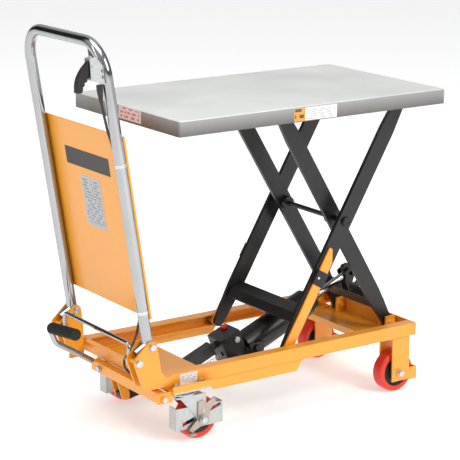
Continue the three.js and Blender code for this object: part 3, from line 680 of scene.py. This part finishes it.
for side, out in (("near", -1), ("far", 1)):
    made = []
    # The race's web and shelf, then the two lugs of the fixed pivot.
    for (x0, x1), (y0, y1), (z0, z1) in (
        ((-353, 60), (128.5, 132), (714.2, 744.6)), ((-353, 60), (107, 131), (714.2, 717.2)),
        ((309, 343), (126, 131), (714, 744.6)), ((309, 343), (147.6, 152.6), (714, 744.6)),
    ):
        y0, y1 = sorted((out * y0, out * y1))
        made.append(block((x0, y0, z0), (x1, y1, z1)))
    made.append(drum(at(326, out * 140.5, 729.3), (0, 1, 0), 0.006, 0.029, 32))
    settle(join("races", made), "table_races_" + side, black, "table", "black_paint")


# ---- Hydraulic cylinder and rod ---------------------------------------------
# The cylinder swings on two trunnions in a welded cradle. Its chromed rod ends in
# a black eye with a ball knob on the stem of its grease plug.
chrome, field, shader = new_finish("polished_chrome", Metallic=1.0)
haze = noise(field, 18.0, 5.0)
hairs = noise(field, 240.0, 3.0, (1.0, 1.0, 0.08))
blend_colours(haze, (0.36, 0.365, 0.37), (0.46, 0.465, 0.47)).into(shader, "Base Color")
(0.07 + haze * 0.05 + hairs * 0.05).into(shader, "Roughness")
bumped(shader, hairs, 0.03, 0.00005)

settle(rounded("pump_cradle", 0.0012), "cradle", black, "chassis", "black_paint", "pump_cradle", angle=0)
settle(rounded("cylinder_barrel", 0.0022, 3), "cylinder_body", black, "cylinder", "black_paint",
       "cylinder_barrel", angle=0)
ROD_PLACE = tilted(-25, 135.5, 22.95)  # trunnion, and the cylinder's slope
ROD_EYE = 333


def along(place, start, end):
    """Centre, direction and length, in metres, of a stretch between two places in millimetres."""
    a, b = place @ Vector(start), place @ Vector(end)
    return (a + b) / 2, (b - a).normalized(), (b - a).length


def rod_between(place, start, end, radius, sides=48):
    centre, way, length = along(place, start, end)
    return drum(centre, way, radius / 1000, length, sides)


stem = rod_between(ROD_PLACE, (112, 0, 0), (334, 0, 0), 9.8, 64)
settle(stem, "rod_stem", chrome, "rod", "chrome", "piston_rod")
eye = rod_between(ROD_PLACE, (ROD_EYE, -11, 0), (ROD_EYE, 11, 0), 14, 48)
cross_pin = rod_between(ROD_PLACE, (ROD_EYE, -22, 0), (ROD_EYE, 22, 0), 5.9, 32)
bpy.ops.object.select_all(action="DESELECT")
bpy.ops.mesh.primitive_uv_sphere_add(segments=32, ring_count=16, radius=0.0088,
                                     location=ROD_PLACE @ Vector((324, 0, 20)))
knob = bpy.context.object
bpy.ops.object.transform_apply(location=True, rotation=True, scale=True)
neck = rod_between(ROD_PLACE, (326, 0, 8), (324, 0, 18), 3.4, 24)
settle(join("rod_end", [ease(eye, 0.0012), ease(cross_pin, 0.0006), knob, neck]), "rod_eye",
       black, "rod", "black_paint")
wiper = rod_between(ROD_PLACE, (208, 0, 0), (213, 0, 0), 17, 48)
settle(ease(wiper, 0.0008), "rod_wiper", core_black, "cylinder", "black_plastic", angle=0)


# ---- Foot pump --------------------------------------------------------------
# A cast iron block holds the pump bore and the release valve with its red cap. A
# box section pushes the plunger, and a coil spring brings it back.
cast_black = painted("painted_casting", (0.0055, 0.0055, 0.0057), (0.0125, 0.0125, 0.0125), 0.38, 0.05, 0.9)
PUMP_PLACE = tilted(-83, 138, 22.4)  # middle of the pump bore, and its slope
settle(rounded("pump_block", 0.0028, 3), "pump_casting", cast_black, "chassis", "black_paint",
       "pump_block", angle=0)
settle(rounded("push_tube", 0.0016), "push_bar", black, "push_link", "black_paint", "push_tube", angle=0)
cap_red, field, shader = new_finish("red_cap", Specular_IOR_Level=0.5)
tone = noise(field, 60.0, 3.0)
blend_colours(tone, (0.60, 0.012, 0.010), (0.74, 0.022, 0.016)).into(shader, "Base Color")
(0.28 + tone * 0.16).into(shader, "Roughness")
bumped(shader, tone, 0.1, 0.0001)
cap = rod_between(PUMP_PLACE, (17, 14, 38.2), (17, 14, 45), 7.9, 40)
settle(ease(cap, 0.0012, 3), "release_valve_cap", cap_red, "chassis", "red_plastic", "valve_cap", angle=0)
plug = rod_between(PUMP_PLACE, (16.5, -29, 19), (16.5, -35, 19), 6.4, 6)
ring = rod_between(PUMP_PLACE, (16.5, -29, 19), (16.5, -34.2, 19), 7.4, 40)
settle(join("plug", [ease(plug, 0.0007), ease(ring, 0.0004)]), "oil_plug", bolt_zinc, "chassis",
       "steel", angle=0)
for n, (s, up) in enumerate(((-16, 30), (24, -26), (-16, -26))):
    screw = rod_between(PUMP_PLACE, (s, -29, up), (s, -33, up), 4.6, 40)
    pick_faces(screw, lambda c, n: n.y < -0.9)
    bpy.ops.mesh.inset(thickness=0.0020)
    push((0, 0.0020, 0))
    bpy.ops.object.mode_set(mode="OBJECT")
    settle(screw, f"pump_screw_{n}", core_black, "chassis", "black_paint")
SPRING_TURNS = 11.5
SPRING_LENGTH = 0.079
SPRING_FOOT = (-0.1065, -0.012, -0.003)
bpy.ops.object.select_all(action="DESELECT")
bpy.ops.mesh.primitive_circle_add(vertices=10, radius=0.0008, location=(0.0040, 0, 0),
                                  rotation=(math.pi / 2, 0, 0))
coil = bpy.context.object
bpy.ops.object.transform_apply(location=True, rotation=True, scale=True)
turns = coil.modifiers.new("coil", "SCREW")
turns.angle = math.tau * SPRING_TURNS
turns.screw_offset = SPRING_LENGTH
turns.steps = turns.render_steps = 220
bpy.ops.object.modifier_apply(modifier="coil")
coil.data.transform(PUMP_PLACE @ Matrix.Scale(1000, 4) @ Matrix.Translation(SPRING_FOOT)
                    @ Matrix.Rotation(math.pi / 2, 4, "Y"))
settle(ease(coil, 0), "pump_spring", bearing_steel, "push_link", "steel", "return_spring")


# ---- Treadle and pedal ------------------------------------------------------
# A folded channel turns between the caster ledges. A chromed bar rises from it to
# the foot pad, which is a ribbed moulded rubber sleeve with a rounded end.
settle(rounded("treadle_beam", 0.0010), "treadle_channel", orange, "treadle", "orange_paint",
       "treadle_beam", angle=0)


def round_path(corners, radius, steps):
    """The same path with every corner turned into an arc."""
    path = [corners[0]]
    for before, corner, after in zip(corners, corners[1:], corners[2:]):
        one, two = (before - corner).normalized(), (after - corner).normalized()
        half = one.angle(two) / 2
        reach = min(radius / math.tan(half), 0.48 * (before - corner).length,
                    0.48 * (after - corner).length)
        centre = corner + (one + two).normalized() * (reach / math.cos(half))
        start, end = corner + one * reach - centre, corner + two * reach - centre
        for k in range(steps + 1):
            path.append(centre + start.normalized().slerp(end.normalized(), k / steps) * start.length)
    return path + [corners[-1]]


def pipe(path, radius, sides=32):
    """A round bar: a disc is extruded from place to place and turned to face along the path."""
    ways = [(path[min(i + 1, len(path) - 1)] - path[max(i - 1, 0)]).normalized()
            for i in range(len(path))]
    turn = ways[0].to_track_quat("Z", "Y")
    frames = []
    for i, (place, way) in enumerate(zip(path, ways)):
        if i:
            turn = ways[i - 1].rotation_difference(way) @ turn
        frames.append(Matrix.Translation(place) @ turn.to_matrix().to_4x4())
    bpy.ops.object.select_all(action="DESELECT")
    bpy.ops.mesh.primitive_circle_add(vertices=sides, radius=radius, fill_type="NGON")
    piece = bpy.context.object
    piece.data.transform(frames[0])
    activate(piece)
    bpy.ops.object.mode_set(mode="EDIT")
    bpy.ops.mesh.select_all(action="SELECT")
    for before, after in zip(frames, frames[1:]):
        push((0, 0, 0))
        bpy.ops.object.mode_set(mode="OBJECT")
        step = after @ before.inverted()
        for vertex in piece.data.vertices:
            if vertex.select:
                vertex.co = step @ vertex.co
        bpy.ops.object.mode_set(mode="EDIT")
    bpy.ops.object.mode_set(mode="OBJECT")
    return ease(piece, 0)


bar = pipe(round_path([at(-400, 92, 136), at(-452, 92, 170), at(-494, 92, 196), at(-512, 92, 239),
                       at(-512, 70, 241)], 0.022, 8), 0.0070, 40)
settle(bar, "pedal_bar", chrome, "treadle", "chrome", "pedal_tube")
rubber, field, shader = new_finish("moulded_rubber", Specular_IOR_Level=0.35)
dusty = noise(field, 55.0, 5.0)
fine = noise(field, 800.0, 2.0)
blend_colours(dusty, (0.012, 0.012, 0.012), (0.026, 0.026, 0.025)).into(shader, "Base Color")
(0.50 + fine * 0.22).into(shader, "Roughness")
bumped(shader, fine, 0.35, 0.00015)
PAD_FOOT, PAD_END = (-512, 77, 239), (-512, -36, 252)
pad = rod_between(tilted(0, 0, 0), PAD_FOOT, PAD_END, 13.4, 72)
pad_foot = at(*PAD_FOOT)
pad_axis = (at(*PAD_END) - pad_foot).normalized()
RIB_DEPTH = 0.0016
END_DOME = 0.0018
FLANK = 0.012  # anything further than this from the axis is the ribbed side
pick_faces(pad, lambda c, n: abs(n.dot(pad_axis)) > 0.9)
bpy.ops.mesh.inset(thickness=0.0030)
bpy.ops.object.mode_set(mode="OBJECT")
for vertex in pad.data.vertices:
    offset = vertex.co - pad_foot
    out_from = offset - pad_axis * offset.dot(pad_axis)
    if out_from.length > FLANK and vertex.index // 2 % 3 == 0:
        vertex.co -= out_from.normalized() * RIB_DEPTH
    if out_from.length < FLANK:
        vertex.co += pad_axis * (END_DOME if offset.dot(pad_axis) > 0.05 else -END_DOME)
settle(ease(pad, 0), "foot_pad", rubber, "treadle", "black_rubber", "pedal_pad", angle=24)
end_cap = rod_between(tilted(0, 0, 0), (-512, -35.6, 252), (-512, -38.4, 252.3), 9.5, 40)
settle(ease(end_cap, 0.0014, 3), "foot_pad_end", rubber, "treadle", "black_rubber", angle=0)


# ---- Handle -----------------------------------------------------------------
# One length of 25 mm steel tube bent twice and chromed. Its feet turn back at the
# pivots, and a folded orange sheet is riveted between the uprights.
HANDLE_PLACE = tilted(-407, 245, 8.61)  # foot pivot, and the handle's lean
UPRIGHT = 168
HOOP_TOP = 679.8
HOOP_BEND = 0.072


def on_handle(o, y, w):
    return HANDLE_PLACE @ Vector((o, y, w))


hoop = pipe(round_path([
    on_handle(0, -UPRIGHT, -4), on_handle(0, -UPRIGHT, HOOP_TOP),
    on_handle(0, UPRIGHT, HOOP_TOP), on_handle(0, UPRIGHT, -4)], HOOP_BEND, 22), 0.0125, 80)
feet = [pipe([on_handle(0, y, 0), on_handle(-33, y, -12)], 0.0124, 64) for y in (-UPRIGHT, UPRIGHT)]
settle(join("hoop", [hoop] + feet), "push_handle", chrome, "handle", "chrome", "handle_tube")
settle(rounded("handle_panel", 0.0011, 3), "handle_sheet", orange, "handle", "orange_paint",
       "handle_panel", angle=0)
settle(rounded("handle_gusset", 0.0007), "hoop_web", black, "handle", "black_paint", "handle_gusset",
       angle=0)
rivets = []
for out in (-1, 1):
    for height in (84, 266, 448):
        rivet = rod_between(HANDLE_PLACE, (15.6, out * 160, height), (17.4, out * 160, height), 4.5, 32)
        rivets.append(ease(rivet, 0.0006))
settle(join("rivets", rivets), "sheet_rivets", orange, "handle", "orange_paint", angle=0)


# ---- Release lever and cable ------------------------------------------------
# A zinc plated bracket on the near upright carries a moulded black lever. The
# sheathed cable runs from its boot down the upright and across to the pump.
settle(rounded("lever_bracket", 0.0007), "lever_mount", caster_zinc, "handle", "zinc",
       "lever_bracket", angle=0)
grip = [(-30, 652), (-26, 640), (-34, 628), (-40, 625), (-43, 619), (-49, 619), (-51, 612), (-57, 612),
        (-58, 605), (-63, 604), (-63, 598), (-67, 592), (-79.5, 594), (-78, 606), (-76, 614), (-71, 625),
        (-64, 634), (-56, 642), (-48, 648), (-40, 654)]
lever = plate(grip, -175, -161, HANDLE_PLACE, 0.0016)
settle(lever, "lever_grip", rubber, "lever", "black_plastic", "release_lever", angle=0)
pin = rod_between(HANDLE_PLACE, (-36, -181.6, 642), (-36, -154.4, 642), 2.9, 32)
settle(ease(pin, 0.0005), "lever_pin", bolt_zinc, "handle", "steel", angle=0)
# Painted shade: thin black plates lie over the bracket's two slots, where only shade shows through.
slot_shade_marks = []
for w in (612, 625):
    outline = [(-18, w), (-15, w), (-15, w + 7), (-18, w + 7)]
    slot_shade_marks.append(plate(outline, -180.4, -179.4, HANDLE_PLACE, 0.0002))
settle(join("slot_shade_marks", slot_shade_marks), "bracket_slots", core_black, "handle", "black_plastic", angle=0)

sheath, field, shader = new_finish("cable_sheath", Specular_IOR_Level=0.5)
wear = noise(field, 90.0, 4.0, (1.0, 1.0, 0.2))
blend_colours(wear, (0.010, 0.010, 0.010), (0.022, 0.022, 0.022)).into(shader, "Base Color")
(0.26 + wear * 0.16).into(shader, "Roughness")
bumped(shader, wear, 0.1, 0.0001)
run = [on_handle(o, y, w) for o, y, w in (
    (-20, -166, 597), (-22, -166, 560), (-17, -162, 520), (-11, -155.5, 490), (-3, -151.6, 455),
    (0, -151.8, 420), (0, -151.8, 300), (0, -151.8, 180), (0, -151.8, 90))]
run += [at(*place) for place in (
    (-416, -148, 298), (-415, -138, 270), (-411, -116, 240), (-411, -95, 212), (-411, -74, 186),
    (-408, -66, 169), (-402, -76, 155), (-393, -92, 150), (-379, -100, 148))]
line = pipe(round_path(run, 0.030, 5), 0.0029, 20)
boot = pipe([on_handle(-20, -166, 597), on_handle(-20.6, -166, 585), on_handle(-22, -166, 560)], 0.0069, 32)
for vertex in boot.data.vertices:
    height = (HANDLE_PLACE.inverted() @ vertex.co).z
    if height < 570:
        vertex.co += (on_handle(-22, -166, 560) - vertex.co) * 0.42
settle(join("line", [line, boot]), "brake_line", sheath, "handle", "black_rubber", "release_cable")
bands = []
for w in (415, 78):
    band = rod_between(HANDLE_PLACE, (0, -UPRIGHT, w - 4), (0, -UPRIGHT, w + 4), 12.9, 64)
    outline = [(-4.6, w - 5), (4.6, w - 5), (4.6, w + 5), (-4.6, w + 5)]
    tab = plate(outline, -157.0, -147.4, HANDLE_PLACE, 0.0012)
    bands += [ease(band, 0.0003), tab]
settle(join("bands", bands), "cable_clips", bolt_zinc, "handle", "zinc", angle=0)


# ---- Bail -------------------------------------------------------------------
# A chromed 10 mm rod with flattened eyes swings on the rear bracket bolts. It
# locks the folded handle.
loop = pipe(round_path([at(-442, -144.5, 216), at(-440, -144.5, 247), at(-440, 144.5, 247),
                        at(-442, 144.5, 216)], 0.012, 10), 0.0050, 40)
eyes = []
for out in (-1, 1):
    disc = drum(at(-442, out * 145.5, 214), (0, 1, 0), 0.0088, 0.0050, 48)
    eyes.append(ease(disc, 0.0008))
settle(join("bail_loop", [loop] + eyes), "handle_catch", chrome, "bail", "chrome", "handle_bail")


# ---- Labels -----------------------------------------------------------------
# Printed vinyl: a dark sign and a grey data plate on the handle sheet, a red and
# white notice on the table's end, and plain tags on its side. None has lettering.
def label(name, body, corner, across, up, base, marks, columns, rows, seed):
    """A thin sticker whose marks are blank bars and dots in a grid, set by its own UV square."""
    bpy.ops.object.select_all(action="DESELECT")
    bpy.ops.mesh.primitive_grid_add(x_subdivisions=2, y_subdivisions=2, size=1.0)
    piece = bpy.context.object
    for vertex in piece.data.vertices:
        x, y = vertex.co.x + 0.5, vertex.co.y + 0.5
        vertex.co = corner + across * x + up * y
    activate(piece)
    thick = piece.modifiers.new("film", "SOLIDIFY")
    thick.thickness = 0.0002
    thick.offset = 1.0
    bpy.ops.object.modifier_apply(modifier="film")
    finish, field, shader = new_finish(name + "_print", Roughness=0.42, Specular_IOR_Level=0.4)
    place = field.node("UVMap")
    parts = field.node("SeparateXYZ", {}, {0: place})
    u = Field(field.tree, parts.socket.node.outputs["X"])
    v = Field(field.tree, parts.socket.node.outputs["Y"])
    row = v * rows
    cell = row.node("Math", {"operation": "FRACT"}, {0: row})
    which = row.node("Math", {"operation": "FLOOR"}, {0: row})
    shift = which.node("TexWhiteNoise", {"noise_dimensions": "1D"}, {"W": which + seed}, "Value")
    column = u * columns
    dash = column.node("TexNoise", {"noise_dimensions": "1D"}, {"W": column + shift * 17.0, "Scale": 1.0})
    ink = (cell > 0.45) * (dash > 0.47) * (u > 0.07) * ((1.0 - u) > 0.07) * (v > 0.05)
    ink = ink * ((1.0 - v) > 0.05)
    blend_colours(ink, base, marks).into(shader, "Base Color")
    return settle(piece, name, finish, body, "black_plastic", angle=0)


SHEET_FACE = 12.95  # just off the sheet, square to the handle
TABLE_SIDE = -224.74
TABLE_END = -356.74
RAIL_FACE = -181.2


def on_sheet(y, w):
    return on_handle(SHEET_FACE, y, w)


def on_end(y, z):
    return at(TABLE_END, y, z)


def on_side(x, z):
    return at(x, TABLE_SIDE, z)


def on_rail(x, z):
    return at(x, RAIL_FACE, z)


# Name, body, where it sits, its left and right, its foot and head, its two tones, and its grid.
for name, body, spot, (left, right), (foot, head), base, marks, grid in (
    ("sign", "handle", on_sheet, (99, -93), (371, 412),
     (0.035, 0.033, 0.028), (0.035, 0.033, 0.028), (3, 1, 2)),
    ("data_plate", "handle", on_sheet, (46, -39), (234, 352),
     (0.50, 0.51, 0.52), (0.24, 0.25, 0.26), (6, 17, 5)),
    ("end_notice", "table", on_end, (25, -69), (717, 745),
     (0.80, 0.74, 0.78), (0.62, 0.20, 0.20), (7, 3, 8)),
    ("side_notice", "table", on_side, (-54.6, -24.4), (714, 743),
     (0.80, 0.34, 0.06), (0.10, 0.08, 0.06), (3, 2, 3)),
    ("side_strip", "table", on_side, (-24.4, 64), (714, 743),
     (0.86, 0.86, 0.86), (0.45, 0.45, 0.45), (8, 6, 4)),
    ("rail_tag", "chassis", on_rail, (-331, -286), (140, 166),
     (0.84, 0.84, 0.84), (0.5, 0.5, 0.5), (5, 5, 6)),
):
    corner = spot(left, foot)
    label(name, body, corner, spot(right, foot) - corner, spot(left, head) - corner, base, marks, *grid)
